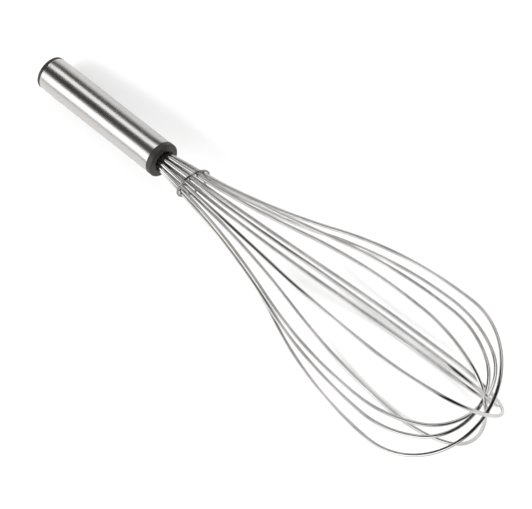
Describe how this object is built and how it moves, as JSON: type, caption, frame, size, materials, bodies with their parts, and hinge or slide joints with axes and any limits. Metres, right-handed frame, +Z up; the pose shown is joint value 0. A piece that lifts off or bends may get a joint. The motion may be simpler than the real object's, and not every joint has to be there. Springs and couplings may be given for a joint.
{
  "type": "balloon whisk",
  "caption": "Balloon whisk with a steel tube handle, black plastic plugs at both ends, bent steel wire loops that cross at the tip, and a wire binding ring.",
  "frame": {"origin": "centre of the whisk's bounding box on the table that it lies on", "axes": "+Z up from the table, +X along the whisk from the handle towards the balloon, the whisk lying on two wires and the heel of its handle"},
  "size_m": [0.3556, 0.0939, 0.0931],
  "materials": {
    "satin_steel": "stainless tube, lengthways satin grain",
    "wire_steel": "bright drawn stainless wire",
    "black_plastic": "fine matte black moulding",
    "resin": "cured amber potting resin"
  },
  "bodies": {
    "root": {"handle_tube": "satin_steel", "end_cap": "black_plastic", "front_plug": "black_plastic", "resin_seal": "resin", "wire_loop_1": "wire_steel", "wire_loop_2": "wire_steel", "wire_loop_3": "wire_steel", "wire_loop_4": "wire_steel", "wire_loop_5": "wire_steel", "wire_loop_6": "wire_steel", "binding_ring": "wire_steel"}
  },
  "joints": []
}
